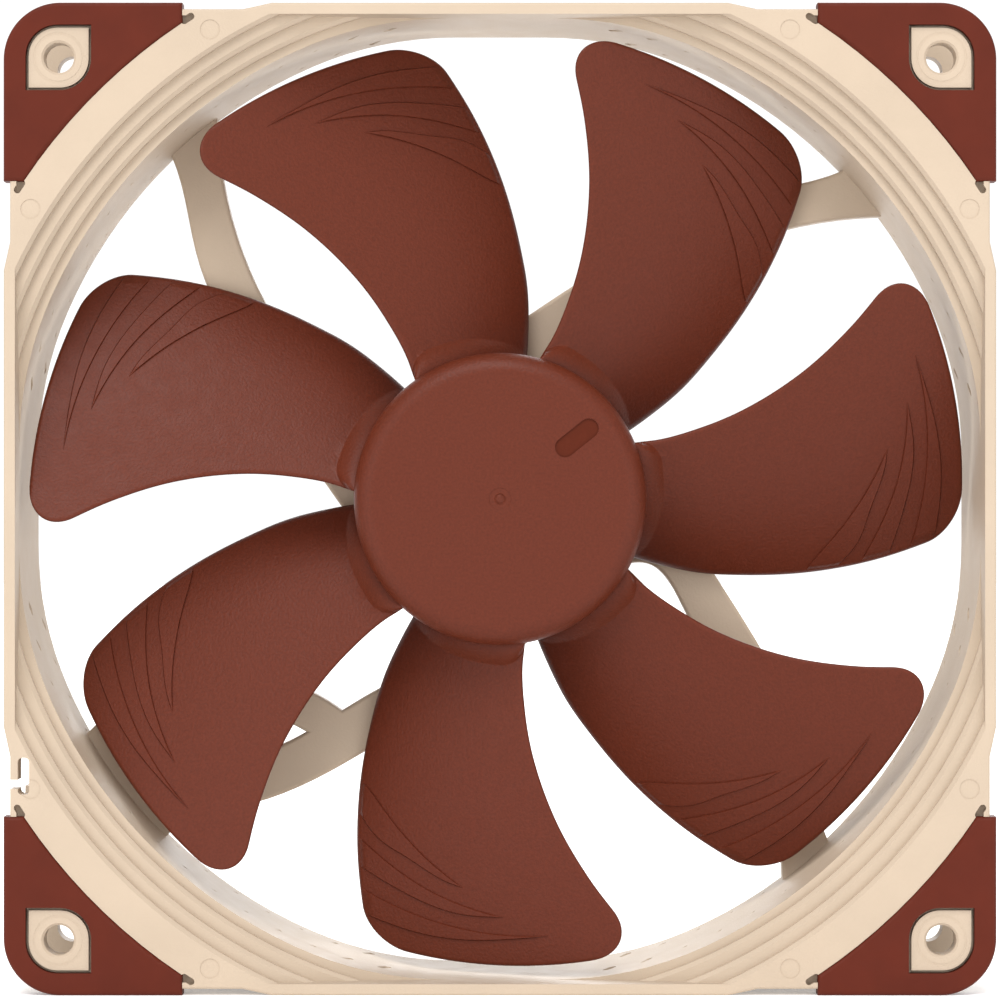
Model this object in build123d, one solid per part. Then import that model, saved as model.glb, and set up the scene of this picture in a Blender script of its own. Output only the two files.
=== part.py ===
from build123d import *
import math
import os

# A 140 mm case fan. Every piece is drawn lying on its back: X to the right, Y up and Z towards
# the intake side, with the origin on the axis at half depth. stand_up() then turns it upright,
# with the intake facing -Y and +Z up. All sizes are in millimetres.

# ---- whole fan
SIZE = 140.0  # over the corner pads
DEPTH = 25.0  # over the corner pads
HOLE_SPACING = 124.5  # of the four screw holes, both ways
HOLE_RADIUS = 2.15
HALF = SIZE / 2
HOLE_AT = HOLE_SPACING / 2

# ---- frame moulding
PAD_PROUD = 0.3  # how far a pad stands out of its flange
FACE = DEPTH / 2 - PAD_PROUD  # front face of the frame; the rear face is at -FACE
RIM_HALF = 69.1  # the flanges' edges, set back where the pads grip them
RIM_RADIUS = 7.1
SIDE_FULL = 32.2  # half-length of each side's full-width middle
SIDE_JOG = 36.3  # where that middle has run down to the rim
RIM_EDGE = 0.4
FRONT_FLANGE = 4.6
REAR_FLANGE = 4.2
DUCT_FRONT_RADIUS = 70.1
DUCT_REAR_RADIUS = 69.0
DUCT_OUTER_RADIUS = 71.7
WALL_FRONT_HALF = 68.4  # the duct is cut off square at the four sides
WALL_REAR_HALF = 67.6
WALL_BLEND_RADIUS = 52.0  # where the round duct runs into its flat sides
STEP_RADII = (75.2, 73.2, 71.1)  # the stepped inlet, from the front face inwards
STEP_DEPTH = 1.5
STEP_EDGE = 0.55
EJECTOR_RADIUS = 1.4
EJECTOR_DEPTH = 0.1
EJECTOR_SPOTS = ((40.9, 66.2), (66.2, 40.9))

# ---- drop-shaped dimples, in two staggered rows round the duct wall
DIMPLE_HEIGHTS = (0.5, -9.5)
DIMPLE_COUNT = 80  # in a whole row; the flat middles of the four sides have none
DIMPLE_RADIUS = 0.59
DIMPLE_TAIL = 2.0
DIMPLE_SLANT = 35  # degrees off the axis
DIMPLE_OFF_WALL = 0.5  # from the wall to the middle of the drop
FLAT_HALF_ANGLE = 12.5  # the duct's round part begins just outside this

# ---- corner pads and their seats
PAD_ARC = 80.7  # inner edge, concentric with the fan
PAD_END = 44.8
SEAT_END = 43.2
SEAT_HALF = 68.2
SEAT_DEPTH = 1.4
NOTCH = (2.1, 1.0)  # length and width of the round ends of a seat, which the pad leaves open
NOTCH_AT = (67.75, 44.05)
PAD_RADIUS = 8.0
PAD_LIP = 0.8  # thickness of the pad over the rim strip
PAD_SKIRT = 3.9  # how far the pad reaches back outside the flange
PAD_EDGE = 0.6
LEAF_WINDOW = 9.25
LEAF_BOSS = 8.45
LEAF_ROUNDING = 0.48  # of the leaf's width
BOSS_RECESS = 0.25
RING_GROOVE = (3.3, 3.6)
RING_GROOVE_DEPTH = 0.05
HOLE_CHAMFER = 0.3

# ---- hooked cable slot in the left edge of the front flange, and the open notch behind it
SLOT_X = (-68.0, -66.4)
SLOT_Y = (-41.7, -36.5)
SLOT_MOUTH_Y = (-40.9, -39.6)
SLOT_ROUNDING = 0.6

# ---- struts and motor base
STRUT_FRONT = -8.6
STRUT_EDGE = 0.5
STRUT_OUTER_EDGE = (
    (-19.0, -6.5),
    (-24.8, 1.3),
    (-31.3, 11.0),
    (-38.0, 21.7),
    (-44.2, 35.4),
    (-47.2, 48.2),
    (-48.7, 51.6),
)
STRUT_INNER_EDGE = (
    (-41.2, 57.4),
    (-40.3, 46.4),
    (-37.9, 37.0),
    (-34.3, 28.8),
    (-27.2, 16.8),
    (-22.6, 9.9),
    (-16.0, 10.6),
)
GUIDE_ROUTE = ((-22.5, -35.0), (-30.5, -29.8), (-45.0, -28.8), (-59.5, -37.6))
GUIDE_WIDTH = 5.5
WEB_INNER_RADIUS = 65.5  # of the web that joins the guide's foot to the strut's
WEB_ANGLES = (210.5, 225.3)
BASE_RADIUS = 21.0
BASE_RIM = 1.5
BASE_FLOOR = 1.6
WIRE_NOTCH = 6.0
LABEL_RADIUS = 17.5
LABEL_THICK = 0.25
LABEL_RECESS = 0.3
CLEARANCE = 0.2  # round the label, the board and the windings' inner ends
BOARD_PEG_RADIUS = 1.0
BOARD_PEG_AT = 15.0
BOARD_REAR = -9.6
BOARD_THICK = 1.2

# Board components: width, depth, height, distance from the axis and degrees round it.
DRIVER_CHIP = (5.0, 4.0, 1.1, 12.5, 135)
HALL_SENSOR = (3.0, 1.2, 2.6, 14.6, 45)
CAPACITOR = (1.6, 0.9, 0.8, 13.0)
CAPACITOR_ANGLES = (215, 235, 255)

# ---- bearing stack, in the middle of the base
SHAFT_RADIUS = 1.5
BEARING_BORE = 1.53
TUBE_BORE = 3.2
TUBE_RADIUS = 4.3
TUBE_TOP = 6.9
SEAT_RADIUS = 5.4  # the frame's collar round the tube
THRUST_THICK = 0.7
STABILISER_TOP = -8.9
BEARING_ENDS = (-7.6, 6.0)
SEAL_THICK = 0.4
RING_ENDS = (-8.5, -8.1)
RING_RADIUS = 2.3
GROOVE_RADIUS = 1.2
SHAFT_ROUNDING = 0.9  # of the end that runs on the thrust pad
END_PLAY = 0.05
LOOSE_BORE = 1.9  # washers that the shaft runs through freely

# ---- motor stator
CORE_HALF = 4.2
CORE_RADIUS = 15.9
SHOE_THICK = 2.2
SHOE_HALF_ANGLE = 36
NECK_WIDTH = 5.5
YOKE_RING = 7.0
TEETH = 4
INSULATOR_THICK = 0.8
INSULATOR_HALF = 6.8
COIL_INNER = 7.6
COIL_OUTER = 12.4
COIL_BUILD = 1.9  # thickness of the winding beside its tooth
COIL_CROWN = 1.6  # and in front of it and behind it
COIL_EDGE = 0.8
PIN_RADIUS = 0.4
PIN_AT = 8.6
PIN_LUG = 1.3
PIN_STUB = 0.3  # how far a pin stands out behind the board

# ---- impeller
BLADES = 7
TIP_RADIUS = 66.8
HUB_RADIUS = 20.75
HUB_FRONT = 11.0
HUB_REAR = -7.2
HUB_ROUNDING = 3.0
HUB_FACE = 1.8
HUB_BOSS = 5.5
YOKE_RADIUS = 19.4
YOKE_THICK = 0.9
YOKE_REAR = -6.5
MAGNET_BORE = 16.4
MAGNET_ENDS = (-6.2, 6.5)
INSERT_RADIUS = 3.6
INSERT_ENDS = (7.3, 9.9)
GATE_RADIUS = 1.6
PIP_RADIUS = 0.6
GATE_DEPTH = 0.08
BALANCE_SLOT = (7.1, 2.85)
BALANCE_AT = (10.86, 8.64)
BALANCE_DEPTH = 0.25

# Blade sections: radius, then the angles of the leading and trailing edges, in degrees
# anticlockwise from the top as seen from the front.
BLADE_SECTIONS = (
    (20.0, 87.6, 40.3),
    (24.5, 84.7, 41.7),
    (30.5, 83.9, 43.8),
    (37.0, 84.5, 46.9),
    (46.0, 86.9, 50.9),
    (55.0, 90.3, 55.0),
    (61.5, 92.8, 58.1),
    (64.8, 91.9, 60.7),
    (TIP_RADIUS, 89.0, 65.5),
)
BLADE_ROWS = 14
BLADE_COLUMNS = 8
ROOT_THICK = 2.2  # in the middle of the chord
TIP_THICK = 1.4
EDGE_SHARE = 0.6  # how thick the edges are against the middle
BLADE_CAMBER = 0.6
ROOT_RADIUS = 22.0
ROOT_RISE = 0.263  # mm of depth for each degree round the axis, at the root
TIP_RISE = 0.495  # and at the tip
ROOT_MIDDLE = 11.9  # depth of the middle of the chord behind the fan's front
TIP_LEAD = 2.3  # how much nearer the front it is at the tip
MIDDLE_SWEEP = ((22.0, 63.5), (66.8, 77.8))  # radius and angle of the middle of the chord


# ---------------------------------------------------------------- helpers
def slab(outline, low, high):
    """A flat outline given thickness from one height to another."""
    return extrude(Pos(0, 0, low) * outline, high - low)


def ring(outer, inner, low, high):
    """A plain ring round the axis."""
    return slab(Circle(outer) - Circle(inner), low, high)


def turned(shape, degrees):
    return Rot(0, 0, degrees) * shape


def stand_up(shape):
    """From lying on its back to standing, with the intake facing -Y."""
    return Rot(90, 0, 0) * shape


def quarters(shape, count=4):
    """The shape and its copies round the axis."""
    return [turned(shape, 360 / count * k) for k in range(count)]


def square_funnel(front_half, rear_half):
    front = Pos(0, 0, FACE) * Rectangle(2 * front_half, 2 * front_half)
    rear = Pos(0, 0, -FACE) * Rectangle(2 * rear_half, 2 * rear_half)
    return loft([rear, front])


def leaf(width):
    """A square with two opposite corners rounded, on the diagonal through the fan's centre."""
    outline = Rectangle(width, width)
    corners = outline.vertices().sort_by(Axis((0, 0, 0), (1, 1, 0)))
    return fillet([corners[0], corners[-1]], width * LEAF_ROUNDING)


# ---------------------------------------------------------------- frame
def flange_outline():
    """The square rim, with the middle of each side standing out to the full width."""
    rim = RectangleRounded(2 * RIM_HALF, 2 * RIM_HALF, RIM_RADIUS)
    bar = Polygon(
        (-HALF, -SIDE_FULL),
        (-RIM_HALF, -SIDE_JOG),
        (RIM_HALF, -SIDE_JOG),
        (HALF, -SIDE_FULL),
        (HALF, SIDE_FULL),
        (RIM_HALF, SIDE_JOG),
        (-RIM_HALF, SIDE_JOG),
        (-HALF, SIDE_FULL),
        align=None,
    )
    return rim + bar + turned(bar, 90)


def duct_outline(height):
    """The duct's section at a height: a circle with four flat sides that it runs into."""
    along = (height + FACE) / (2 * FACE)
    radius = DUCT_REAR_RADIUS + (DUCT_FRONT_RADIUS - DUCT_REAR_RADIUS) * along
    side = 2 * (WALL_REAR_HALF + (WALL_FRONT_HALF - WALL_REAR_HALF) * along)
    outline = Circle(radius) & Rectangle(side, side)
    return Pos(0, 0, height) * fillet(outline.vertices(), WALL_BLEND_RADIUS)


def inlet_steps():
    """The steps from the front face down to the duct, cut off square at the sides."""
    steps = []
    for k, radius in enumerate(STEP_RADII):
        top = FACE - STEP_DEPTH * k
        steps.append(slab(Circle(radius), top - STEP_DEPTH, top))
        bevel = Cone(radius, radius + STEP_EDGE, STEP_EDGE)
        steps.append(Pos(0, 0, top - STEP_EDGE / 2) * bevel)
    return (steps[0] + steps[1:]) & square_funnel(WALL_FRONT_HALF, WALL_REAR_HALF)


def duct_space():
    """The air's way through: a tapered duct with a stepped inlet."""
    inlet_floor = FACE - STEP_DEPTH * len(STEP_RADII)
    duct = loft([duct_outline(-FACE), duct_outline(inlet_floor)])
    return duct + inlet_steps()


def pad_seat():
    """What the front flange loses to one pad, at the upper right corner."""
    seat = Rectangle(SEAT_HALF - SEAT_END, SEAT_HALF - SEAT_END, align=Align.MIN)
    seat = Pos(SEAT_END, SEAT_END) * seat - Circle(PAD_ARC)
    corner = seat.vertices().sort_by(Axis((0, 0, 0), (1, 1, 0)))[-1]
    seat = fillet(corner, RIM_RADIUS - (RIM_HALF - SEAT_HALF))
    over_rim = Pos(PAD_END, PAD_END) * Rectangle(HALF, HALF, align=Align.MIN) - Circle(PAD_ARC)
    lean = math.degrees(math.atan2(NOTCH_AT[1], NOTCH_AT[0]))
    seat += Pos(*NOTCH_AT) * Rot(0, 0, lean - 90) * SlotOverall(*NOTCH)
    seat += Pos(*NOTCH_AT[::-1]) * Rot(0, 0, -lean) * SlotOverall(*NOTCH)
    cut = slab(seat, FACE - SEAT_DEPTH, DEPTH) + slab(over_rim, FACE - PAD_LIP, DEPTH)
    boss = slab(Pos(HOLE_AT, HOLE_AT) * leaf(LEAF_BOSS), FACE - SEAT_DEPTH, FACE - BOSS_RECESS)
    groove = Circle(RING_GROOVE[1]) - Circle(RING_GROOVE[0])
    boss = boss - slab(Pos(HOLE_AT, HOLE_AT) * groove, FACE - BOSS_RECESS - RING_GROOVE_DEPTH, FACE)
    return cut - boss


def strut():
    """One curved strut, at the upper left, from the motor base to the duct wall."""
    outer = Spline(*STRUT_OUTER_EDGE)
    inner = Spline(*STRUT_INNER_EDGE)
    ends = Line(outer @ 1, inner @ 0) + Line(inner @ 1, outer @ 0)
    return make_face(outer + inner + ends)


def cable_guide():
    """The branch of the lower left strut that carries the cable over to its slot."""
    return trace(Spline(*GUIDE_ROUTE), GUIDE_WIDTH)


def dimples():
    """The drops that the duct wall's dimples are sunk with."""
    drop = Sphere(DIMPLE_RADIUS) + Pos(0, 0, DIMPLE_TAIL / 2) * Cone(
        DIMPLE_RADIUS, DIMPLE_OFF_WALL, DIMPLE_TAIL
    )
    pitch = 360 / DIMPLE_COUNT
    drops = []
    for row, height in enumerate(DIMPLE_HEIGHTS):
        along = (height + FACE) / (2 * FACE)
        wall = DUCT_REAR_RADIUS + (DUCT_FRONT_RADIUS - DUCT_REAR_RADIUS) * along
        slanted = Pos(wall - DIMPLE_OFF_WALL, 0, height) * Rot(DIMPLE_SLANT, 0, 0) * drop
        for k in range(DIMPLE_COUNT):
            angle = pitch * (k + row / 2)
            if abs((angle + 45) % 90 - 45) > FLAT_HALF_ANGLE:
                drops.append(turned(slanted, angle))
    return drops


def guide_web():
    """The stretch of ring along the duct wall between the strut's foot and the guide's."""
    band = Circle(DUCT_OUTER_RADIUS) - Circle(WEB_INNER_RADIUS)
    edges = [math.radians(angle) for angle in WEB_ANGLES]
    corners = [(SIZE * math.cos(edge), SIZE * math.sin(edge)) for edge in edges]
    return band & Polygon((0, 0), *corners, align=None)


def screw_holes():
    """What the four screw holes take out of both flanges, with a chamfer at each end."""
    boss_face = FACE - BOSS_RECESS
    hole = slab(Circle(HOLE_RADIUS), -DEPTH, DEPTH)
    chamfer = Cone(HOLE_RADIUS, HOLE_RADIUS + HOLE_CHAMFER, HOLE_CHAMFER)
    chamfer = Pos(0, 0, boss_face - HOLE_CHAMFER / 2) * chamfer
    hole += chamfer + Rot(180, 0, 0) * chamfer
    return quarters(Pos(HOLE_AT, HOLE_AT, 0) * hole)


def cable_slot():
    """A slot behind a narrow mouth in the front flange, and a wide notch in the rear one."""
    width, height = SLOT_X[1] - SLOT_X[0], SLOT_Y[1] - SLOT_Y[0]
    middle = sum(SLOT_Y) / 2
    slot = Pos(sum(SLOT_X) / 2, middle) * RectangleRounded(width, height, SLOT_ROUNDING)
    mouth_reach = HALF + SLOT_X[0] + width / 2
    mouth_height = SLOT_MOUTH_Y[1] - SLOT_MOUTH_Y[0]
    mouth = Rectangle(mouth_reach, mouth_height, align=(Align.MIN, Align.CENTER))
    mouth = Pos(-HALF, sum(SLOT_MOUTH_Y) / 2) * mouth
    notch = Rectangle(HALF + SLOT_X[0], height, align=(Align.MIN, Align.CENTER))
    return slab(slot + mouth, 0, DEPTH) + slab(Pos(-HALF, middle) * notch, -DEPTH, 0)


def flange(thickness):
    """The front flange, with its outer edges eased; the rear one is this turned over."""
    plate = slab(flange_outline(), FACE - thickness, FACE)
    return fillet(plate.faces().sort_by(Axis.Z)[-1].edges(), RIM_EDGE)


def frame():
    body = flange(FRONT_FLANGE) + Rot(180, 0, 0) * flange(REAR_FLANGE)
    body += slab(Circle(DUCT_OUTER_RADIUS) & Rectangle(SIZE, SIZE), RIM_EDGE - FACE, FACE - RIM_EDGE)
    body -= duct_space()
    body -= dimples()
    spider = Circle(BASE_RADIUS) + quarters(strut()) + cable_guide()
    spider = slab(spider, -FACE, STRUT_FRONT)
    body += fillet(spider.faces().sort_by(Axis.Z)[-1].edges(), STRUT_EDGE)
    body += slab(guide_web(), -FACE, STRUT_FRONT)
    body -= slab(Circle(BASE_RADIUS - BASE_RIM), BASE_FLOOR - FACE, 0)
    notch = Pos(0, BASE_RADIUS) * Rectangle(WIRE_NOTCH, 4 * BASE_RIM)
    body -= turned(slab(notch, BASE_FLOOR - FACE, 0), 135)
    body += ring(SEAT_RADIUS, TUBE_RADIUS, BASE_FLOOR - FACE, -CORE_HALF - INSULATOR_THICK)
    peg = slab(Pos(BOARD_PEG_AT, 0) * Circle(BOARD_PEG_RADIUS), BASE_FLOOR - FACE, BOARD_REAR)
    body += quarters(peg)
    body -= slab(Circle(LABEL_RADIUS + CLEARANCE), -FACE, LABEL_RECESS - FACE)
    seats = quarters(pad_seat())
    body -= seats
    body -= [Rot(0, 180, 0) * seat for seat in seats]
    body -= screw_holes()
    for at in EJECTOR_SPOTS:
        spot = slab(Pos(*at) * Circle(EJECTOR_RADIUS), FACE - EJECTOR_DEPTH, FACE)
        body -= quarters(spot)
    return body - cable_slot()


# ---------------------------------------------------------------- corner pads
def front_pad():
    """The rubber pad of the upper right corner: a plate, and a skirt round the flange's edge."""
    corner = RectangleRounded(SIZE, SIZE, PAD_RADIUS)
    quadrant = Pos(PAD_END, PAD_END) * Rectangle(HALF, HALF, align=Align.MIN)
    whole = (corner & quadrant) - Circle(PAD_ARC)
    inside = whole & RectangleRounded(2 * SEAT_HALF, 2 * SEAT_HALF, RIM_RADIUS - (RIM_HALF - SEAT_HALF))
    outside = whole - RectangleRounded(2 * RIM_HALF, 2 * RIM_HALF, RIM_RADIUS)
    plate = slab(whole, FACE - PAD_LIP, DEPTH / 2)
    plate = fillet(plate.faces().sort_by(Axis.Z)[-1].edges(), PAD_EDGE)
    pad = plate + slab(inside, FACE - SEAT_DEPTH, FACE - PAD_LIP)
    pad += slab(outside, FACE - PAD_SKIRT, FACE - PAD_LIP)
    return pad - slab(Pos(HOLE_AT, HOLE_AT) * leaf(LEAF_WINDOW), 0, DEPTH)


# ---------------------------------------------------------------- bearing
def bearing_parts():
    floor = BASE_FLOOR - FACE
    thrust_top = floor + THRUST_THICK
    return {
        "bearing_tube": ring(TUBE_RADIUS, TUBE_BORE, floor, TUBE_TOP),
        "thrust_pad": slab(Circle(TUBE_BORE), floor, thrust_top),
        "stabilising_magnet": ring(TUBE_BORE, LOOSE_BORE, thrust_top, STABILISER_TOP),
        "sleeve_bearing": ring(TUBE_BORE, BEARING_BORE, *BEARING_ENDS),
        "oil_seal_washer": ring(TUBE_BORE, LOOSE_BORE, BEARING_ENDS[1], BEARING_ENDS[1] + SEAL_THICK),
    }


def shaft():
    """The ground steel shaft, rounded where it runs on the thrust pad."""
    low = BASE_FLOOR - FACE + THRUST_THICK + END_PLAY
    rod = slab(Circle(SHAFT_RADIUS), low, INSERT_ENDS[1])
    rod = fillet(rod.edges().sort_by(Axis.Z)[0], SHAFT_ROUNDING)
    return rod - ring(SHAFT_RADIUS + 1, GROOVE_RADIUS, *RING_ENDS)


# ---------------------------------------------------------------- stator
def stator_core():
    """The stack of laminations: a ring, and four teeth with curved shoes."""
    shoe_arc = Circle(CORE_RADIUS) - Circle(CORE_RADIUS - SHOE_THICK)
    reach = 2 * CORE_RADIUS
    spread = reach * math.tan(math.radians(SHOE_HALF_ANGLE))
    wedge = Polygon((0, 0), (reach, -spread), (reach, spread), align=None)
    neck = Rectangle(CORE_RADIUS - 1, NECK_WIDTH, align=(Align.MIN, Align.CENTER))
    tooth = (shoe_arc & wedge) + neck
    outline = Circle(YOKE_RING) + quarters(tooth, TEETH) - Circle(TUBE_RADIUS)
    return slab(outline, -CORE_HALF, CORE_HALF)


def front_insulator():
    """The plastic bobbin on the front half of the core, with walls that hold the windings."""
    top = CORE_HALF + INSULATOR_THICK
    width = NECK_WIDTH + 2 * INSULATOR_THICK
    length = COIL_OUTER + INSULATOR_THICK - YOKE_RING
    sleeve = Pos(YOKE_RING, 0) * Rectangle(length, width, align=(Align.MIN, Align.CENTER))
    neck = Pos(YOKE_RING - 1, 0) * Rectangle(length + 2, NECK_WIDTH, align=(Align.MIN, Align.CENTER))
    shoes = Circle(CORE_RADIUS + 1) - Circle(CORE_RADIUS - SHOE_THICK)
    sleeves = slab(sleeve, 0, top) - slab(neck, 0, CORE_HALF)
    wall = Pos(COIL_OUTER, 0) * Rectangle(
        INSULATOR_THICK, width + 2 * COIL_BUILD, align=(Align.MIN, Align.CENTER)
    )
    sleeves += slab(wall, CORE_HALF, INSULATOR_HALF)
    body = quarters(sleeves - slab(shoes, 0, CORE_HALF), TEETH)
    rim = COIL_INNER - CLEARANCE
    collar = ring(rim, TUBE_RADIUS, CORE_HALF, top)
    lip = ring(rim, rim - INSULATOR_THICK, CORE_HALF, INSULATOR_HALF)
    inner_side = slab(Circle(YOKE_RING), 0, CORE_HALF)
    return collar + lip + [part - inner_side for part in body]


def rear_insulator():
    """The front one turned over, with four lugs for the winding pins."""
    body = Rot(180, 0, 0) * front_insulator()
    lug = slab(Pos(PIN_AT, 0) * Circle(PIN_LUG), -CORE_HALF - INSULATOR_THICK, -CORE_HALF)
    body += [turned(part, 45) for part in quarters(lug)]
    return body - winding_pins()


def winding_pins():
    top = -CORE_HALF - INSULATOR_THICK / 2
    pin = slab(Pos(PIN_AT, 0) * Circle(PIN_RADIUS), BOARD_REAR - PIN_STUB, top)
    return [turned(part, 45) for part in quarters(pin)]


def coil():
    """One winding round the tooth on the right."""
    half_width = NECK_WIDTH / 2 + INSULATOR_THICK
    half_height = CORE_HALF + INSULATOR_THICK
    length = COIL_OUTER - COIL_INNER
    outer = Box(length, 2 * (half_width + COIL_BUILD), 2 * (half_height + COIL_CROWN))
    outer = fillet(outer.edges().filter_by(Axis.X), COIL_EDGE)
    inner = Box(length, 2 * half_width, 2 * half_height)
    return Pos((COIL_INNER + COIL_OUTER) / 2, 0, 0) * (outer - inner)


# ---------------------------------------------------------------- circuit board
def on_board(width, depth, height, radius, degrees):
    """A component on the board's front face, at a radius and an angle."""
    top = BOARD_REAR + BOARD_THICK
    return turned(slab(Pos(radius, 0) * Rectangle(depth, width), top, top + height), degrees)


def board_parts():
    disc = ring(LABEL_RADIUS, SEAT_RADIUS + CLEARANCE, BOARD_REAR, BOARD_REAR + BOARD_THICK)
    capacitors = [on_board(*CAPACITOR, degrees) for degrees in CAPACITOR_ANGLES]
    return {
        "circuit_board": disc - winding_pins(),
        "driver_chip": on_board(*DRIVER_CHIP),
        "hall_sensor": on_board(*HALL_SENSOR),
        "chip_capacitors": Compound(children=capacitors),
    }


# ---------------------------------------------------------------- impeller
def edge_point(column, share):
    """Radius and angle along the leading (column 1) or trailing (2) edge, root to tip."""
    outline = Spline(*[(section[0], section[column]) for section in BLADE_SECTIONS])
    place = outline @ share
    return place.X, place.Y


def blade_point(radius, angle, across, thickness):
    """A point of the blade, across from 0 at the leading edge to 1 at the trailing edge."""
    along = (radius - ROOT_RADIUS) / (TIP_RADIUS - ROOT_RADIUS)
    rise = ROOT_RISE + (TIP_RISE - ROOT_RISE) * along
    (low_radius, low_angle), (high_radius, high_angle) = MIDDLE_SWEEP
    middle = low_angle + (high_angle - low_angle) * (radius - low_radius) / (high_radius - low_radius)
    depth = ROOT_MIDDLE - TIP_LEAD * along + rise * (middle - angle)
    depth -= BLADE_CAMBER * math.sin(math.pi * across)
    slope = math.degrees(rise) / radius
    turn = math.radians(angle)
    return Vector(
        -radius * math.sin(turn),
        radius * math.cos(turn),
        DEPTH / 2 - depth - thickness * math.hypot(1, slope),
    )


def blade():
    """One blade: a front and a rear skin through its sections, joined by ruled edges."""
    skins = []
    for thick in (0, 1):
        grid = []
        for row in range(BLADE_ROWS + 1):
            share = row / BLADE_ROWS
            middle_thick = thick * (ROOT_THICK + (TIP_THICK - ROOT_THICK) * share)
            start, end = edge_point(1, share), edge_point(2, share)
            points = []
            for column in range(BLADE_COLUMNS + 1):
                across = column / BLADE_COLUMNS
                radius = start[0] + (end[0] - start[0]) * across
                angle = start[1] + (end[1] - start[1]) * across
                fullness = EDGE_SHARE + (1 - EDGE_SHARE) * math.sin(math.pi * across)
                points.append(blade_point(radius, angle, across, middle_thick * fullness))
            grid.append(points)
        skins.append(Face.make_surface_from_array_of_points(grid, tol=0.005, min_deg=3, max_deg=5))
    front, rear = skins
    sides = [Face.make_surface_from_curves(a, b) for a, b in zip(front.edges(), rear.edges())]
    return Solid(Shell([front, rear, *sides]))


def hub():
    cup = slab(Circle(HUB_RADIUS), HUB_REAR, HUB_FRONT)
    cup = fillet(cup.edges().sort_by(Axis.Z)[-1], HUB_ROUNDING)
    cup -= slab(Circle(YOKE_RADIUS), HUB_REAR, HUB_FRONT - HUB_FACE)
    cup += slab(Circle(HUB_BOSS), INSERT_ENDS[0], HUB_FRONT - HUB_FACE)
    cup -= slab(Circle(INSERT_RADIUS), *INSERT_ENDS)
    gate = Circle(GATE_RADIUS) - Circle(PIP_RADIUS)
    cup -= slab(gate, HUB_FRONT - GATE_DEPTH, HUB_FRONT)
    slant = math.degrees(math.atan2(BALANCE_AT[1], BALANCE_AT[0]))
    pocket = Pos(*BALANCE_AT) * Rot(0, 0, slant) * SlotOverall(*BALANCE_SLOT)
    return cup - slab(pocket, HUB_FRONT - BALANCE_DEPTH, HUB_FRONT)


def impeller():
    """The hub cup and its seven blades, one moulding."""
    hollow = slab(Circle(YOKE_RADIUS), HUB_REAR, HUB_FRONT - HUB_FACE)
    return hub() + quarters(blade() - hollow, BLADES)


def rotor_parts():
    inner_face = HUB_FRONT - HUB_FACE
    yoke = ring(YOKE_RADIUS, YOKE_RADIUS - YOKE_THICK, YOKE_REAR, inner_face)
    yoke += ring(YOKE_RADIUS, HUB_BOSS, inner_face - YOKE_THICK, inner_face)
    return {
        "impeller": impeller(),
        "hub_insert": ring(INSERT_RADIUS, SHAFT_RADIUS, *INSERT_ENDS),
        "rotor_yoke": yoke,
        "rotor_magnet": ring(YOKE_RADIUS - YOKE_THICK, MAGNET_BORE, *MAGNET_ENDS),
        "shaft": shaft(),
        "retaining_ring": ring(RING_RADIUS, GROOVE_RADIUS, *RING_ENDS),
    }


# ---------------------------------------------------------------- the whole assembly
def pads():
    """Eight pads, named by the corner as seen from the front."""
    corners = ("top_right", "top_left", "bottom_left", "bottom_right")
    pieces = {}
    for corner, pad in zip(corners, quarters(front_pad())):
        pieces["front_pad_" + corner] = pad
        side = "left" if "right" in corner else "right"
        pieces["rear_pad_" + corner.split("_")[0] + "_" + side] = Rot(0, 180, 0) * pad
    return pieces


def stator_parts():
    pieces = {"stator_core": stator_core(), "insulator_front": front_insulator()}
    pieces["insulator_rear"] = rear_insulator()
    pieces["winding_pins"] = Compound(children=winding_pins())
    for k, winding in enumerate(quarters(coil(), TEETH)):
        pieces[f"coil_{k + 1}"] = winding
    return pieces


def main():
    label = slab(Circle(LABEL_RADIUS), LABEL_RECESS - LABEL_THICK - FACE, LABEL_RECESS - FACE)
    pieces = {"frame": frame(), "motor_label": label}
    pieces |= pads() | bearing_parts() | stator_parts() | board_parts() | rotor_parts()
    os.makedirs("parts", exist_ok=True)
    for name, shape in pieces.items():
        export_step(stand_up(shape), f"parts/{name}.step")


main()
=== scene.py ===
import math

import bmesh
import bpy
from mathutils import Matrix, Vector


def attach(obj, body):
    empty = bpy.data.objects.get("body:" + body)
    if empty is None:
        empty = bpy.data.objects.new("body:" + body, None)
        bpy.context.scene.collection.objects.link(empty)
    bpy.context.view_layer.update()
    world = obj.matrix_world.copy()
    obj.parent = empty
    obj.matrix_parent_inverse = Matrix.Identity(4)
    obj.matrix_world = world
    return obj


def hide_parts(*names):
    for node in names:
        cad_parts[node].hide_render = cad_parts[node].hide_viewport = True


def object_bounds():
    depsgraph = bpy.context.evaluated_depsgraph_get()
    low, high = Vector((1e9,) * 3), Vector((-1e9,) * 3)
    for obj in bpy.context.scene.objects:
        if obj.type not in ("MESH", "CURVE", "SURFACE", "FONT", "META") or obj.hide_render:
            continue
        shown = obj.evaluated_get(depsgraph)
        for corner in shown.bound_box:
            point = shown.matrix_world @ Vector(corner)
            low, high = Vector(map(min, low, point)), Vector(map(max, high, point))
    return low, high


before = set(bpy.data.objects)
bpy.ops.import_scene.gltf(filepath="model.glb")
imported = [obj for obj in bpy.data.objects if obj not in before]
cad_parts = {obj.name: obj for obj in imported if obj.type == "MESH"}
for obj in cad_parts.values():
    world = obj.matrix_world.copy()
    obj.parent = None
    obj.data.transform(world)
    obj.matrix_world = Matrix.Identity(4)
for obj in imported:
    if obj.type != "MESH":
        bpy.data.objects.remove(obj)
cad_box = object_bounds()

# A 140 mm case fan, standing upright with its intake towards -Y and +Z up. Lengths are in
# millimetres until a mesh is made, and angles are in degrees, anticlockwise from the top as
# seen from the front. A depth is measured backwards from the fan's front.
MM = 0.001
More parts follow.
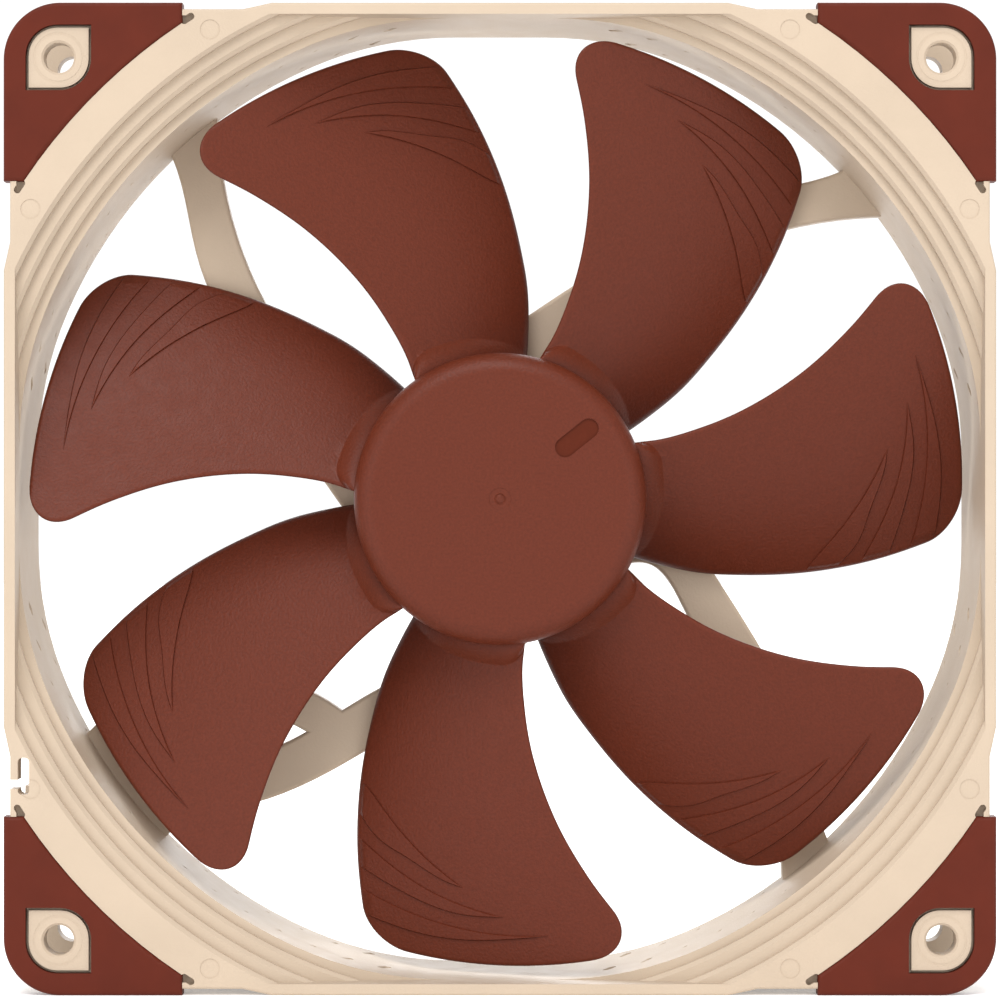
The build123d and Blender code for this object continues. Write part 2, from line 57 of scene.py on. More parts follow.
FRONT = cad_box[0][1] / MM  # y of the fan's front

# ---- impeller: the same driving dimensions as the CAD part
BLADES = 7
TIP_RADIUS = 66.8
HUB_RADIUS = 20.75
HUB_FACE = 1.5  # depth of the hub's flat face
HUB_REAR = 19.7
HUB_ROUNDING = 3.0
YOKE_RADIUS = 19.4
HUB_FLOOR = 3.3  # depth of the inside of the hub's face
BOSS_RADIUS = 5.5
INSERT_RADIUS = 3.6
INSERT_ENDS = (2.6, 5.2)
GATE_RADIUS = 1.6
PIP_RADIUS = 0.6
GATE_DEPTH = 0.08
PIP_GROOVE = 0.2  # depth of the fine groove round the gate's pip
PIP_DOME = ((0, 0), (0.5, 0.1), (0.8, 0.4), (1, 1))  # its curve: shares of radius and groove
SOFT_EDGE = 0.1  # width of the groove's floor and of each slope in the gate mark
BALANCE_SLOT = (7.1, 2.85)  # length and width of the balance pocket
BALANCE_AT = (10.86, 8.64)  # x and z of its middle
BALANCE_DEPTH = 0.25
CUTTER_RISE = 1.0  # how far the tool that cuts it stands out of the hub's face

# Radius, then the angles of the leading and the trailing edge before the tip's corners are
# rounded off.
BLADE_EDGES = (
    (20.0, 87.6, 40.3),
    (24.5, 84.7, 41.7),
    (30.5, 83.9, 43.8),
    (37.0, 84.5, 46.9),
    (46.0, 86.9, 50.9),
    (55.0, 90.3, 55.0),
    (61.5, 93.0, 58.1),
    (TIP_RADIUS, 94.9, 60.6),
)
LEADING_CORNER = (6.5, 6.5)  # of the tip's rounding: mm along the radius, degrees round
TRAILING_CORNER = (4.5, 5.0)
ROOT_THICK = 2.2
TIP_THICK = 1.4
EDGE_SHARE = 0.6  # of the middle's thickness that is left at the edges
ROOT_SUNK = 0.7  # how far a blade's root reaches into the hub
BLADE_CAMBER = 0.6
ROOT_RADIUS = 22.0
ROOT_RISE = 0.263  # mm of depth for each degree round, at the root
TIP_RISE = 0.495
ROOT_MIDDLE = 11.9  # depth of the front surface at the middle of the root, without camber
TIP_LEAD = 2.3  # how much nearer the front the tip's middle is
MIDDLE_SWEEP = ((22.0, 63.5), (66.8, 77.8))  # radius and angle at the root and at the tip
SHOULDER_WIDTH = 3.0  # of the raised lobe where a blade's front meets the hub
SHOULDER_HEIGHT = 2.0
SHOULDER_END = 0.15  # share of the chord in which its front end is rounded off
SHOULDER_TAPER = 2.2  # power of the curve in which it narrows to the rear
REAR_FILLET = 1.0

# Raised wedges on the front of each blade: the tip, the inner side and the outer side, as
# radius and angle. The sides run past the trailing edge, and the wedge stops just before it.
WEDGES = (
    (
        (62.5, 83.9),
        ((62.1, 75.5), (61.4, 68.3), (60.5, 61.8), (59.5, 56.0)),
        ((63.0, 78.0), (63.55, 72.1), (63.7, 66.6), (63.2, 57.5)),
    ),
    (
        (59.8, 78.0),
        ((58.6, 72.4), (57.15, 66.8), (55.35, 61.2), (53.8, 56.7), (52.4, 52.4)),
        ((59.9, 71.9), (59.4, 67.7), (58.2, 62.1), (56.5, 54.0)),
    ),
    (
        (56.1, 72.0),
        ((53.2, 66.4), (50.0, 60.5), (46.5, 53.9), (44.9, 49.4)),
        ((55.5, 68.9), (53.6, 63.1), (52.0, 56.9), (48.4, 50.8)),
    ),
)
WEDGE_HEIGHT = 0.34
WEDGE_GROWTH = 0.1  # share of its length in which it reaches its height
WEDGE_DRAFT = 0.16  # how far its sides slope inwards
WEDGE_ROOT = 0.4  # how deep it is rooted in the blade
WEDGE_STOP = 0.45  # how far before the trailing edge it ends
WEDGE_FADE = 0.03  # share of its length in which it runs down to the blade again

# ---- how finely the curves are cut up
SHOULDER_ROWS = 20
SPAN_ROWS = 36
TIP_ROWS = 18
BLADE_COLUMNS = 56
WEDGE_ROWS = 60
WEDGE_COLUMNS = 6
SIDE_STEP = 0.002  # share of a wedge's side in one step of the search for its end
ROUNDING_STEPS = 14
HUB_SEGMENTS = 180
SLOT_SEGMENTS = 48
MERGE = 1e-7  # m, below which two vertices are one
ON_PLANE = 1e-6  # m, within which a face lies on a plane
FACES_FRONT = -0.99  # y of the normal, below which a face looks forwards
SHARP_ANGLE = 32  # degrees between faces, above which their edge stays sharp

# ---- colours of the plastics seen from outside
RED_BROWN = (0.0935, 0.0178, 0.0076)
BEIGE = (0.445, 0.354, 0.266)
PAD_BROWN = (0.084, 0.0117, 0.0042)
POLISHED_SHADED = tuple(channel * 0.82 for channel in RED_BROWN)  # the balance pocket's smooth floor, with its colour darkened as painted shade

# ---- camera and light
CAMERA_DISTANCE = 620  # from the fan's front
SENSOR = 36
FAN_SHARE = 0.9936  # of the picture's width
VIEW_END = 20  # m, beyond which nothing is seen
BACKDROP = 1.1  # brightness of the white that the camera sees
SKY = 1.02  # brightness of the white that lights the fan
FLOOR_SIZE = 6.0  # m
FLOOR_GLOW = 0.25  # keeps the floor pale in the fan's shadow

# The way to each light from the fan, its strength and its spread in degrees.
SUNS = {
    "key": ((-0.12, -0.6, 0.8), 2.0, 36),
    "left_fill": ((-0.62, -0.78, 0.1), 0.65, 35),
    "right_fill": ((0.55, -0.83, 0.1), 0.45, 35),
    "back_fill": ((0.1, 0.9, 0.4), 1.0, 40),
}


# ---------------------------------------------------------------- mesh helpers
def place(radius, angle, depth):
    """A point given round the axis, in metres."""
    turn = math.radians(angle)
    return Vector((-radius * math.sin(turn), FRONT + depth, radius * math.cos(turn))) * MM


def curve_at(points, x, column=1):
    """The value at x of a smooth curve through points whose first numbers rise."""
    last = len(points) - 2
    k = 0
    while k < last and points[k + 1][0] < x:
        k += 1

    def slope(i):
        low, high = points[max(i - 1, 0)], points[min(i + 1, len(points) - 1)]
        return (high[column] - low[column]) / (high[0] - low[0])

    start, end = points[k], points[k + 1]
    length = end[0] - start[0]
    t = (x - start[0]) / length
    rise = end[column] - start[column]
    bend_in = slope(k) * length - rise
    bend_out = rise - slope(k + 1) * length
    return start[column] + rise * t + t * (1 - t) * (bend_in * (1 - t) + bend_out * t)


def new_object(name, mesh):
    piece = bpy.data.objects.new(name, mesh)
    bpy.context.scene.collection.objects.link(piece)
    return piece


def mesh_from(build, name):
    """A closed mesh from a bmesh, with its faces turned outwards."""
    bmesh.ops.remove_doubles(build, verts=build.verts, dist=MERGE)
    bmesh.ops.recalc_face_normals(build, faces=build.faces)
    mesh = bpy.data.meshes.new(name)
    build.to_mesh(mesh)
    build.free()
    return mesh


def skin_rows(build, rows):
    """Faces between closed rows of vertices that all have the same length."""
    for low, high in zip(rows, rows[1:]):
        for k in range(len(low)):
            after = (k + 1) % len(low)
            build.faces.new((low[k], low[after], high[after], high[k]))


def boolean(piece, operand, operation):
    """Joins or cuts a piece with another one, which is then removed."""
    modifier = piece.modifiers.new(operation, "BOOLEAN")
    modifier.object = operand
    modifier.operation = operation
    modifier.solver = "EXACT"
    evaluated = piece.evaluated_get(bpy.context.evaluated_depsgraph_get())
    mesh = bpy.data.meshes.new_from_object(evaluated)
    piece.modifiers.clear()
    piece.data = mesh
    bpy.data.objects.remove(operand)


def smooth_shading(mesh):
    mesh.shade_smooth()
    mesh.set_sharp_from_angle(angle=math.radians(SHARP_ANGLE))


# ---------------------------------------------------------------- one blade
def corner_inset(radius, corner):
    """How many degrees the rounding of a tip's corner takes off an edge."""
    reach, width = corner
    into = (radius - (TIP_RADIUS - reach)) / reach
    if into <= 0:
        return 0
    return width * (1 - math.sqrt(max(0, 1 - into * into)))


def edge_angles(radius):
    leading = curve_at(BLADE_EDGES, radius, 1) - corner_inset(radius, LEADING_CORNER)
    trailing = curve_at(BLADE_EDGES, radius, 2) + corner_inset(radius, TRAILING_CORNER)
    return leading, trailing


def chord_share(radius, angle):
    """0 at the leading edge, 1 at the trailing edge."""
    leading = curve_at(BLADE_EDGES, radius, 1)
    trailing = curve_at(BLADE_EDGES, radius, 2)
    return min(1, max(0, (leading - angle) / (leading - trailing)))


def blade_rise(radius):
    along = (radius - ROOT_RADIUS) / (TIP_RADIUS - ROOT_RADIUS)
    return ROOT_RISE + (TIP_RISE - ROOT_RISE) * along


def front_depth(radius, angle):
    """Depth of a blade's front surface, without the shoulder at its root."""
    along = (radius - ROOT_RADIUS) / (TIP_RADIUS - ROOT_RADIUS)
    (low_radius, low_angle), (high_radius, high_angle) = MIDDLE_SWEEP
    reach, sweep = high_radius - low_radius, high_angle - low_angle
    middle = low_angle + sweep * (radius - low_radius) / reach
    depth = ROOT_MIDDLE - TIP_LEAD * along + blade_rise(radius) * (middle - angle)
    return depth - BLADE_CAMBER * math.sin(math.pi * chord_share(radius, angle))


def rounding(distance, radius):
    """Share of a full half-thickness at a distance from an edge rounded to a radius."""
    into = min(1, max(0, distance / radius))
    return math.sqrt(1 - (1 - into) ** 2)


def shoulder(radius, across):
    """How far the front surface is raised at the hub: a rounded lobe that fades to the rear."""
    taper = math.sqrt(max(0, 1 - across**SHOULDER_TAPER))
    width = SHOULDER_WIDTH * taper * rounding(across, SHOULDER_END)
    out = max(0, radius - HUB_RADIUS)
    if width <= 0 or out >= width:
        return 0
    return SHOULDER_HEIGHT * (1 - across * across) * (1 - (out / width) ** 2)


def blade_rows():
    """Radii of the rows: close together in the root's shoulder and towards the tip."""
    root_end = HUB_RADIUS + SHOULDER_WIDTH
    span_end = TIP_RADIUS - LEADING_CORNER[0]
    lobe = [HUB_RADIUS + SHOULDER_WIDTH * k / SHOULDER_ROWS for k in range(SHOULDER_ROWS)]
    span = [root_end + (span_end - root_end) * k / SPAN_ROWS for k in range(SPAN_ROWS)]
    turns = [math.pi / 2 * k / TIP_ROWS for k in range(TIP_ROWS + 1)]
    tip = [span_end + LEADING_CORNER[0] * math.sin(turn) for turn in turns]
    return [HUB_RADIUS - ROOT_SUNK] + lobe + span + tip


def blade_columns():
    """Shares of the chord, close together at both edges."""
    turns = [math.pi * k / BLADE_COLUMNS for k in range(BLADE_COLUMNS + 1)]
    return [(1 - math.cos(turn)) / 2 for turn in turns]


def blade_row(build, radius):
    """Front and rear vertices of one row; they meet in the rounded edges."""
    leading, trailing = edge_angles(radius)
    share = (radius - BLADE_EDGES[0][0]) / (TIP_RADIUS - BLADE_EDGES[0][0])
    slope = math.degrees(blade_rise(radius)) / radius
    chord = math.radians(leading - trailing) * radius
    full = (ROOT_THICK + (TIP_THICK - ROOT_THICK) * share) * math.hypot(1, slope)
    tip_round = rounding(TIP_RADIUS - radius, full * EDGE_SHARE / 2)
    rear_lift = REAR_FILLET * (1 - rounding(radius - HUB_RADIUS, REAR_FILLET))
    front, rear = [], []
    for across in blade_columns():
        angle = leading + (trailing - leading) * across
        thick = full * (EDGE_SHARE + (1 - EDGE_SHARE) * math.sin(math.pi * across))
        near_edge = min(across, 1 - across) * chord
        half = thick / 2 * rounding(near_edge, full * EDGE_SHARE / 2) * tip_round
        middle = front_depth(radius, angle) + thick / 2
        front_face = middle - half - shoulder(radius, across)
        rear_face = middle + half + rear_lift * half / thick
        front.append(build.verts.new(place(radius, angle, front_face)))
        rear.append(build.verts.new(place(radius, angle, rear_face)))
    return front + rear[::-1]


def blade_mesh():
    """One blade without its wedges, closed across its root."""
    build = bmesh.new()
    rows = [blade_row(build, radius) for radius in blade_rows()]
    skin_rows(build, rows)
    root = rows[0]
    half = len(root) // 2
    for k in range(half - 1):
        build.faces.new((root[k], root[k + 1], root[-k - 2], root[-k - 1]))
    return mesh_from(build, "blade")


def side_point(tip, side, share):
    """Radius and angle at a share of the way along one side of a wedge."""
    points = [(-tip[1], tip[0])] + [(-angle, radius) for radius, angle in side]
    reach = points[0][0] + (points[-1][0] - points[0][0]) * share
    return curve_at(points, reach), -reach


def side_end(tip, side):
    """The share at which a side comes to the wedge's stop before the trailing edge."""
    share = 1.0
    while share > 0:
        radius, angle = side_point(tip, side, share)
        if math.radians(angle - curve_at(BLADE_EDGES, radius, 2)) * radius > WEDGE_STOP:
            break
        share -= SIDE_STEP
    return share


def wedge_section(width, height):
    """How far out from its inner side, and how far below the blade's front, round a wedge."""
    draft = min(WEDGE_DRAFT, width / 3)
    top = width - 2 * draft
    line = [(0, WEDGE_ROOT), (0, 0)]
    line += [(draft + top * k / WEDGE_COLUMNS, -height) for k in range(WEDGE_COLUMNS + 1)]
    return line + [(width, 0), (width, WEDGE_ROOT)]


def wedge_row(build, near, far, height):
    """Vertices round a wedge between a point on its inner side and one on its outer side."""
    width = far[0] - near[0]
    verts = []
    for out, sunk in wedge_section(width, height):
        radius = near[0] + out
        angle = near[1] + (far[1] - near[1]) * out / width
        depth = front_depth(radius, angle) + sunk
        verts.append(build.verts.new(place(radius, angle, depth)))
    return verts


def wedge_mesh(tip, inner, outer):
    """One wedge, following the blade's front surface and rooted below it."""
    build = bmesh.new()
    rows = []
    inner_end, outer_end = side_end(tip, inner), side_end(tip, outer)
    for k in range(1, WEDGE_ROWS + 1):
        share = k / WEDGE_ROWS
        near = side_point(tip, inner, share * inner_end)
        far = side_point(tip, outer, share * outer_end)
        height = WEDGE_HEIGHT * min(1, share / WEDGE_GROWTH, (1 - share) / WEDGE_FADE)
        rows.append(wedge_row(build, near, far, height))
    skin_rows(build, rows)
    build.faces.new(rows[0])
    build.faces.new(rows[-1])
    return mesh_from(build, "wedge")


def blade():
    """One blade with its wedges."""
    piece = new_object("blade", blade_mesh())
    for tip, inner, outer in WEDGES:
        boolean(piece, new_object("wedge", wedge_mesh(tip, inner, outer)), "UNION")
    return piece


# ---------------------------------------------------------------- hub
def hub_profile():
    """Radius and depth along the hub's section, from the middle of its face to the inside."""
    gate = HUB_FACE + GATE_DEPTH
    line = [(PIP_RADIUS * out, HUB_FACE + PIP_GROOVE * down) for out, down in PIP_DOME]
    line += [
        (PIP_RADIUS + SOFT_EDGE, HUB_FACE + PIP_GROOVE),
        (PIP_RADIUS + 2 * SOFT_EDGE, gate),
        (GATE_RADIUS - SOFT_EDGE, gate),
        (GATE_RADIUS, HUB_FACE),
    ]
    flat = HUB_RADIUS - HUB_ROUNDING
    for k in range(ROUNDING_STEPS + 1):
        turn = math.pi / 2 * k / ROUNDING_STEPS
        radius = flat + HUB_ROUNDING * math.sin(turn)
        line.append((radius, HUB_FACE + HUB_ROUNDING * (1 - math.cos(turn))))
    line += [
        (HUB_RADIUS, HUB_REAR),
        (YOKE_RADIUS, HUB_REAR),
        (YOKE_RADIUS, HUB_FLOOR),
        (BOSS_RADIUS, HUB_FLOOR),
        (BOSS_RADIUS, INSERT_ENDS[1]),
        (INSERT_RADIUS, INSERT_ENDS[1]),
        (INSERT_RADIUS, INSERT_ENDS[0]),
        (0, INSERT_ENDS[0]),
    ]
    return line


def hub_mesh():
    """The hub's section turned round the axis."""
    build = bmesh.new()
    profile = hub_profile()
    rings = []
    for k in range(HUB_SEGMENTS):
        angle = 360 * k / HUB_SEGMENTS
        rings.append([build.verts.new(place(radius, angle, depth)) for radius, depth in profile])
    for ring, after in zip(rings, rings[1:] + rings[:1]):
        for k in range(len(profile) - 1):
            corners = [ring[k], ring[k + 1], after[k + 1], after[k]]
            if profile[k][0] == 0:
                corners = corners[:3]
            elif profile[k + 1][0] == 0:
                corners = [ring[k], ring[k + 1], after[k]]
            build.faces.new(corners)
    return mesh_from(build, "hub")


def balance_slot_mesh():
    """A round-ended bar, lying along the radius, that the shallow pocket is cut with."""
    length, width = BALANCE_SLOT
    slant = math.atan2(BALANCE_AT[1], BALANCE_AT[0])
    build = bmesh.new()
    rows = []
    for depth in (HUB_FACE - CUTTER_RISE, HUB_FACE + BALANCE_DEPTH):
        outline = []
        for k in range(SLOT_SEGMENTS):
            turn = 2 * math.pi * (k + 0.5) / SLOT_SEGMENTS
            shift = math.copysign((length - width) / 2, math.cos(turn))
            along = shift + width / 2 * math.cos(turn)
            side = width / 2 * math.sin(turn)
            x = BALANCE_AT[0] + along * math.cos(slant) - side * math.sin(slant)
            z = BALANCE_AT[1] + along * math.sin(slant) + side * math.cos(slant)
            outline.append(build.verts.new(Vector((x, FRONT + depth, z)) * MM))
        rows.append(outline)
    skin_rows(build, rows)
    build.faces.new(rows[0])
    build.faces.new(rows[1])
    return mesh_from(build, "balance_slot")


def impeller_moulding(material, polished_shaded):
    """The hub and its seven blades, joined into one moulding with a smooth pocket floor whose
    darker colour is painted shade.
    """
    piece = new_object("impeller_moulding", hub_mesh())
    boolean(piece, new_object("balance_slot", balance_slot_mesh()), "DIFFERENCE")
    pattern = blade()
    for k in range(BLADES):
        copy = new_object("blade_copy", pattern.data.copy())
        copy.data.transform(Matrix.Rotation(-2 * math.pi * k / BLADES, 4, "Y"))
        boolean(piece, copy, "UNION")
    bpy.data.objects.remove(pattern)
    smooth_shading(piece.data)
    piece.data.materials.clear()
    piece.data.materials.append(material)
    piece.data.materials.append(polished_shaded)
    # the pocket floor's faces get the second material: smoother, and darker as painted shade
    floor_y = (FRONT + HUB_FACE + BALANCE_DEPTH) * MM
    for face in piece.data.polygons:
        at_depth = abs(face.center.y - floor_y) < ON_PLANE
        face.material_index = 1 if at_depth and face.normal.y < FACES_FRONT else 0
    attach(piece, "rotor")
    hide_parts("impeller")


# ---------------------------------------------------------------- materials
class Nodes:
    """A material being built, with short ways to add the nodes that most of them share."""

    def __init__(self, name, roughness=0.5, metallic=0.0, specular=0.5):
        self.material = bpy.data.materials.new(name)
        self.material.use_nodes = True
        self.tree = self.material.node_tree
        self.shader = self.tree.nodes["Principled BSDF"]
        self.shader.inputs["Metallic"].default_value = metallic
        self.shader.inputs["Roughness"].default_value = roughness
        self.shader.inputs["Specular IOR Level"].default_value = specular
        self.place = self.add("ShaderNodeTexCoord").outputs["Object"]

    def add(self, kind, **values):
        node = self.tree.nodes.new(kind)
        for key, value in values.items():
            setattr(node, key, value)
        return node

    def link(self, start, end):
        self.tree.links.new(start, end)

    def stretched(self, x=1.0, y=1.0, z=1.0):
        mapping = self.add("ShaderNodeMapping")
        mapping.inputs["Scale"].default_value = (x, y, z)
        self.link(self.place, mapping.inputs["Vector"])
        return mapping.outputs["Vector"]

    def noise(self, size, detail=3.0, vector=None):
        """Noise whose features are about size millimetres across."""
        node = self.add("ShaderNodeTexNoise")
        node.inputs["Scale"].default_value = 1 / (size * MM)
        node.inputs["Detail"].default_value = detail
        self.link(vector or self.place, node.inputs["Vector"])
        return node.outputs["Fac"]

    def bands(self, pitch, axis, wobble=0.0):
        """Even bands pitch millimetres apart along one axis."""
        node = self.add("ShaderNodeTexWave", wave_type="BANDS", bands_direction=axis)
        wave_length = math.pi / 10  # of the bands at a scale of 1
        node.inputs["Scale"].default_value = wave_length / (pitch * MM)
        node.inputs["Distortion"].default_value = wobble
        self.link(self.place, node.inputs["Vector"])
        return node.outputs["Fac"]

    def ramp(self, value, low, high, start=0.3, end=0.7):
        """Turns a value into a colour between two others."""
        node = self.add("ShaderNodeValToRGB")
        first, last = node.color_ramp.elements
        first.position, last.position = start, end
        first.color, last.color = (*low, 1), (*high, 1)
        self.link(value, node.inputs["Fac"])
        return node.outputs["Color"]

    def spread(self, value, low, high):
        """Turns a value into a number between two others."""
        node = self.add("ShaderNodeMapRange")
        node.inputs["From Min"].default_value = 0.3
        node.inputs["From Max"].default_value = 0.7
        node.inputs["To Min"].default_value = low
        node.inputs["To Max"].default_value = high
        self.link(value, node.inputs["Value"])
        return node.outputs["Result"]

    def colour(self, value):
        self.link(value, self.shader.inputs["Base Color"])

    def roughness(self, value):
        self.link(value, self.shader.inputs["Roughness"])

    def bump(self, value, height, strength=1.0):
        """Raises the surface by up to height millimetres, over any bump added before."""
        node = self.add("ShaderNodeBump")
        node.inputs["Distance"].default_value = height * MM
        node.inputs["Strength"].default_value = strength
        self.link(value, node.inputs["Height"])
        before = self.shader.inputs["Normal"]
        if before.is_linked:
            self.link(before.links[0].from_socket, node.inputs["Normal"])
        self.link(node.outputs["Normal"], self.shader.inputs["Normal"])


def shade(colour, factor):
    """A colour made lighter or darker."""
    return tuple(min(1, channel * factor) for channel in colour)


def moulded_plastic(name, colour, roughness, grain, mottle=0.04, specular=0.5):
    """Spark-eroded mould finish: fine grain, slight waviness and uneven gloss."""
    nodes = Nodes(name, specular=specular)
    sparks = nodes.noise(grain, 3)
    nodes.colour(nodes.ramp(sparks, shade(colour, 1 - mottle), shade(colour, 1 + mottle)))
    nodes.roughness(nodes.spread(nodes.noise(2.5), roughness - 0.04, roughness + 0.04))
    nodes.bump(sparks, 0.08, 0.9)
    nodes.bump(nodes.noise(6, 2), 0.03, 0.4)
    return nodes.material


def frame_plastic():
    """Beige plastic, with faint drawn lines along the mould's pull."""
    nodes = Nodes("beige_plastic", specular=0.2)
    flow = nodes.noise(12, 4)
    nodes.colour(nodes.ramp(flow, shade(BEIGE, 0.965), shade(BEIGE, 1.035)))
    nodes.roughness(nodes.spread(nodes.noise(3), 0.44, 0.52))
    nodes.bump(nodes.noise(0.35, 2), 0.04, 0.8)
    nodes.bump(nodes.noise(1.4, 3, nodes.stretched(0.25, 2.5, 0.25)), 0.018, 0.5)
    return nodes.material


def pad_rubber():
    """Soft silicone rubber: smooth, with a dull bloom."""
    nodes = Nodes("brown_rubber", specular=0.14)
    bloom = nodes.noise(5, 5)
    nodes.colour(nodes.ramp(bloom, shade(PAD_BROWN, 0.93), shade(PAD_BROWN, 1.07)))
    nodes.roughness(nodes.spread(nodes.noise(1.2), 0.48, 0.6))
    nodes.bump(nodes.noise(0.5, 3), 0.01, 0.6)
    return nodes.material


def turned_metal(name, colour, roughness):
    """Metal with fine turning lines round the axis and a few stains."""
    nodes = Nodes(name, metallic=1.0)
    nodes.colour(nodes.ramp(nodes.noise(1.5, 5), shade(colour, 0.85), shade(colour, 1.05)))
    lines = nodes.noise(0.2, 2, nodes.stretched(0.15, 3.0, 0.15))
    nodes.roughness(nodes.spread(lines, roughness - 0.06, roughness + 0.06))
    nodes.bump(lines, 0.004, 0.6)
    return nodes.material


def sintered(name, colour, metallic):
    """Pressed powder: porous and dull, as in the bearing and the magnets."""
    nodes = Nodes(name, metallic=metallic)
    nodes.colour(nodes.ramp(nodes.noise(0.3, 4), shade(colour, 0.75), shade(colour, 1.15)))
    nodes.roughness(nodes.spread(nodes.noise(0.4), 0.5, 0.7))
    nodes.bump(nodes.noise(0.15, 3), 0.01, 0.8)
    return nodes.material


def laminated_steel():
    """The stator's stack, 0.5 mm to a lamination."""
    nodes = Nodes("laminated_steel", metallic=0.9)
    stack = nodes.bands(0.5, "Y")
    nodes.colour(nodes.ramp(stack, (0.10, 0.10, 0.11), (0.34, 0.34, 0.36), 0.1, 0.5))
    nodes.roughness(nodes.spread(nodes.noise(0.6), 0.35, 0.5))
    nodes.bump(stack, 0.05, 0.8)
    return nodes.material


def enamelled_wire(name, axis):
    """Turns of copper wire laid side by side, 0.22 mm apart along an axis."""
    nodes = Nodes(name, metallic=0.85)
    turns = nodes.bands(0.22, axis, 0.15)
    nodes.colour(nodes.ramp(turns, (0.22, 0.06, 0.02), (0.72, 0.30, 0.13), 0.1, 0.8))
    nodes.roughness(nodes.spread(nodes.noise(0.8), 0.25, 0.4))
    nodes.bump(turns, 0.08, 0.9)
    return nodes.material


def board_laminate():
    """Glass-fibre board: woven cloth under a dark solder mask."""
    nodes = Nodes("board_laminate", roughness=0.4)
    across, up = nodes.bands(0.5, "X", 0.2), nodes.bands(0.5, "Z", 0.2)
    nodes.colour(nodes.ramp(nodes.noise(1.8, 4), (0.008, 0.05, 0.02), (0.016, 0.085, 0.035)))
    nodes.bump(across, 0.01, 0.5)
    nodes.bump(up, 0.01, 0.5)
    return nodes.material


def label_film():
    """A blank silvery label with a fine paper grain."""
    nodes = Nodes("label_film", metallic=0.3)
    nodes.colour(nodes.ramp(nodes.noise(0.9, 5), (0.45, 0.44, 0.415), (0.49, 0.48, 0.455)))
    nodes.roughness(nodes.spread(nodes.noise(1.5), 0.38, 0.5))
    nodes.bump(nodes.noise(0.25, 3), 0.006, 0.6)
    return nodes.material


def node_finishes():
    """The material of each CAD node that stays, apart from the pads and the windings."""
    steel = turned_metal("ground_steel", (0.56, 0.56, 0.58), 0.24)
    brass = turned_metal("turned_brass", (0.62, 0.42, 0.16), 0.28)
    magnet = sintered("bonded_magnet", (0.05, 0.05, 0.055), 0.2)
    black = moulded_plastic("black_plastic", (0.018, 0.018, 0.019), 0.45, 0.3)
    return {
        "frame": frame_plastic(),
        "motor_label": label_film(),
        "bearing_tube": brass,
        "hub_insert": brass,
        "thrust_pad": black,
        "stabilising_magnet": magnet,
        "rotor_magnet": magnet,
        "sleeve_bearing": sintered("sintered_bronze", (0.40, 0.24, 0.10), 0.8),
        "oil_seal_washer": black,
        "stator_core": laminated_steel(),
        "insulator_front": black,
        "insulator_rear": black,
        "winding_pins": steel,
        "circuit_board": board_laminate(),
        "driver_chip": black,
        "hall_sensor": black,
        "chip_capacitors": sintered("ceramic", (0.42, 0.30, 0.20), 0.0),
        "rotor_yoke": steel,
        "shaft": steel,
        "retaining_ring": black,
    }


def dress_cad_nodes():
    """Gives every CAD node that stays its material."""
    finishes = node_finishes()
    rubber = pad_rubber()
    side_wire = enamelled_wire("enamelled_wire_x", "X")
    upright_wire = enamelled_wire("enamelled_wire_z", "Z")
    for name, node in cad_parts.items():
        if name == "impeller":
            continue
        material = rubber if "_pad_" in name else finishes.get(name)
        if name.startswith("coil_"):
            material = side_wire if name in ("coil_1", "coil_3") else upright_wire
        for slot in node.material_slots:
            slot.material = material


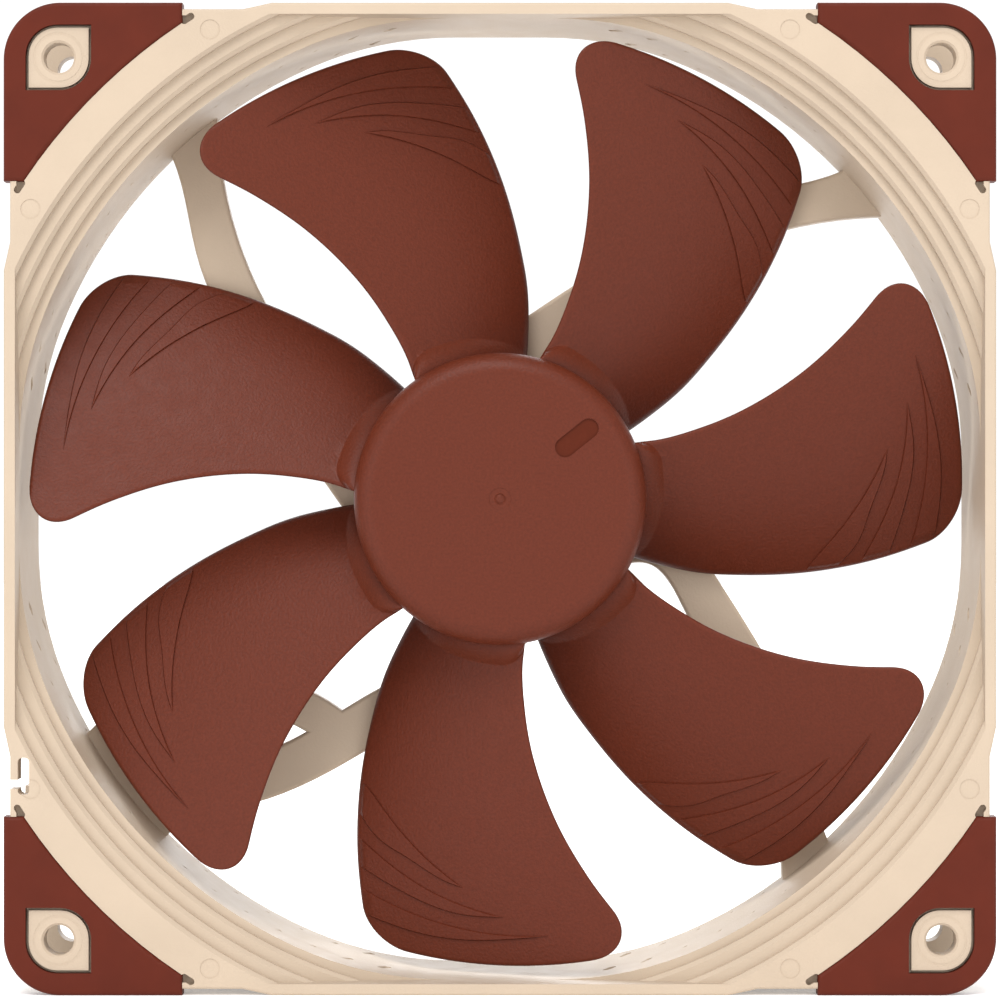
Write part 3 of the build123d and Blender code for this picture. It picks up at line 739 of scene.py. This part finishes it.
# ---------------------------------------------------------------- stage, light and camera
def floor():
    """A plain pale floor that the fan stands on."""
    build = bmesh.new()
    bmesh.ops.create_grid(build, x_segments=4, y_segments=4, size=FLOOR_SIZE / 2)
    mesh = bpy.data.meshes.new("floor")
    build.to_mesh(mesh)
    build.free()
    piece = new_object("floor", mesh)
    piece.location = (0, 0, cad_box[0][2])
    nodes = Nodes("pale_floor", roughness=0.9, specular=0.1)
    nodes.colour(nodes.ramp(nodes.noise(60, 3), (0.94, 0.94, 0.94), (0.96, 0.96, 0.96)))
    nodes.shader.inputs["Emission Color"].default_value = (1, 1, 1, 1)
    nodes.shader.inputs["Emission Strength"].default_value = FLOOR_GLOW
    mesh.materials.append(nodes.material)


def surroundings():
    """A white studio: the camera sees white, and the light from it is softer."""
    world = bpy.data.worlds.new("studio")
    world.use_nodes = True
    tree = world.node_tree
    seen, lit = tree.nodes["Background"], tree.nodes.new("ShaderNodeBackground")
    for background, strength in ((seen, BACKDROP), (lit, SKY)):
        background.inputs["Color"].default_value = (1, 1, 1, 1)
        background.inputs["Strength"].default_value = strength
    path = tree.nodes.new("ShaderNodeLightPath")
    mix = tree.nodes.new("ShaderNodeMixShader")
    tree.links.new(path.outputs["Is Camera Ray"], mix.inputs["Fac"])
    tree.links.new(lit.outputs["Background"], mix.inputs[1])
    tree.links.new(seen.outputs["Background"], mix.inputs[2])
    tree.links.new(mix.outputs["Shader"], tree.nodes["World Output"].inputs["Surface"])
    bpy.context.scene.world = world


def sun(name, towards, strength, spread):
    """Soft light from far away; towards points from the fan to it."""
    light = bpy.data.lights.new(name, "SUN")
    light.energy = strength
    light.angle = math.radians(spread)
    lamp = new_object(name, light)
    lamp.rotation_euler = Vector(towards).to_track_quat("Z", "Y").to_euler()


def camera():
    """Straight on from the front, with the fan's width almost filling the picture."""
    data = bpy.data.cameras.new("camera")
    width = (cad_box[1][0] - cad_box[0][0]) / MM
    data.sensor_width = SENSOR
    data.lens = SENSOR * CAMERA_DISTANCE * FAN_SHARE / width
    data.clip_end = VIEW_END
    view = new_object("camera", data)
    view.location = (0, (FRONT - CAMERA_DISTANCE) * MM, 0)
    view.rotation_euler = (math.pi / 2, 0, 0)
    bpy.context.scene.camera = view


camera()
surroundings()
for name, light in SUNS.items():
    sun(name, *light)
floor()
dress_cad_nodes()
impeller_moulding(
    moulded_plastic("red_brown_plastic", RED_BROWN, 0.42, 0.38, mottle=0.11, specular=0.15),
    # the pocket floor's material: smoother, with its colour darkened by 0.82 as painted shade
    moulded_plastic("polished_red_brown_painted_shade", POLISHED_SHADED, 0.4, 0.8, specular=0.06),
)
bpy.context.scene.view_settings.view_transform = "Standard"
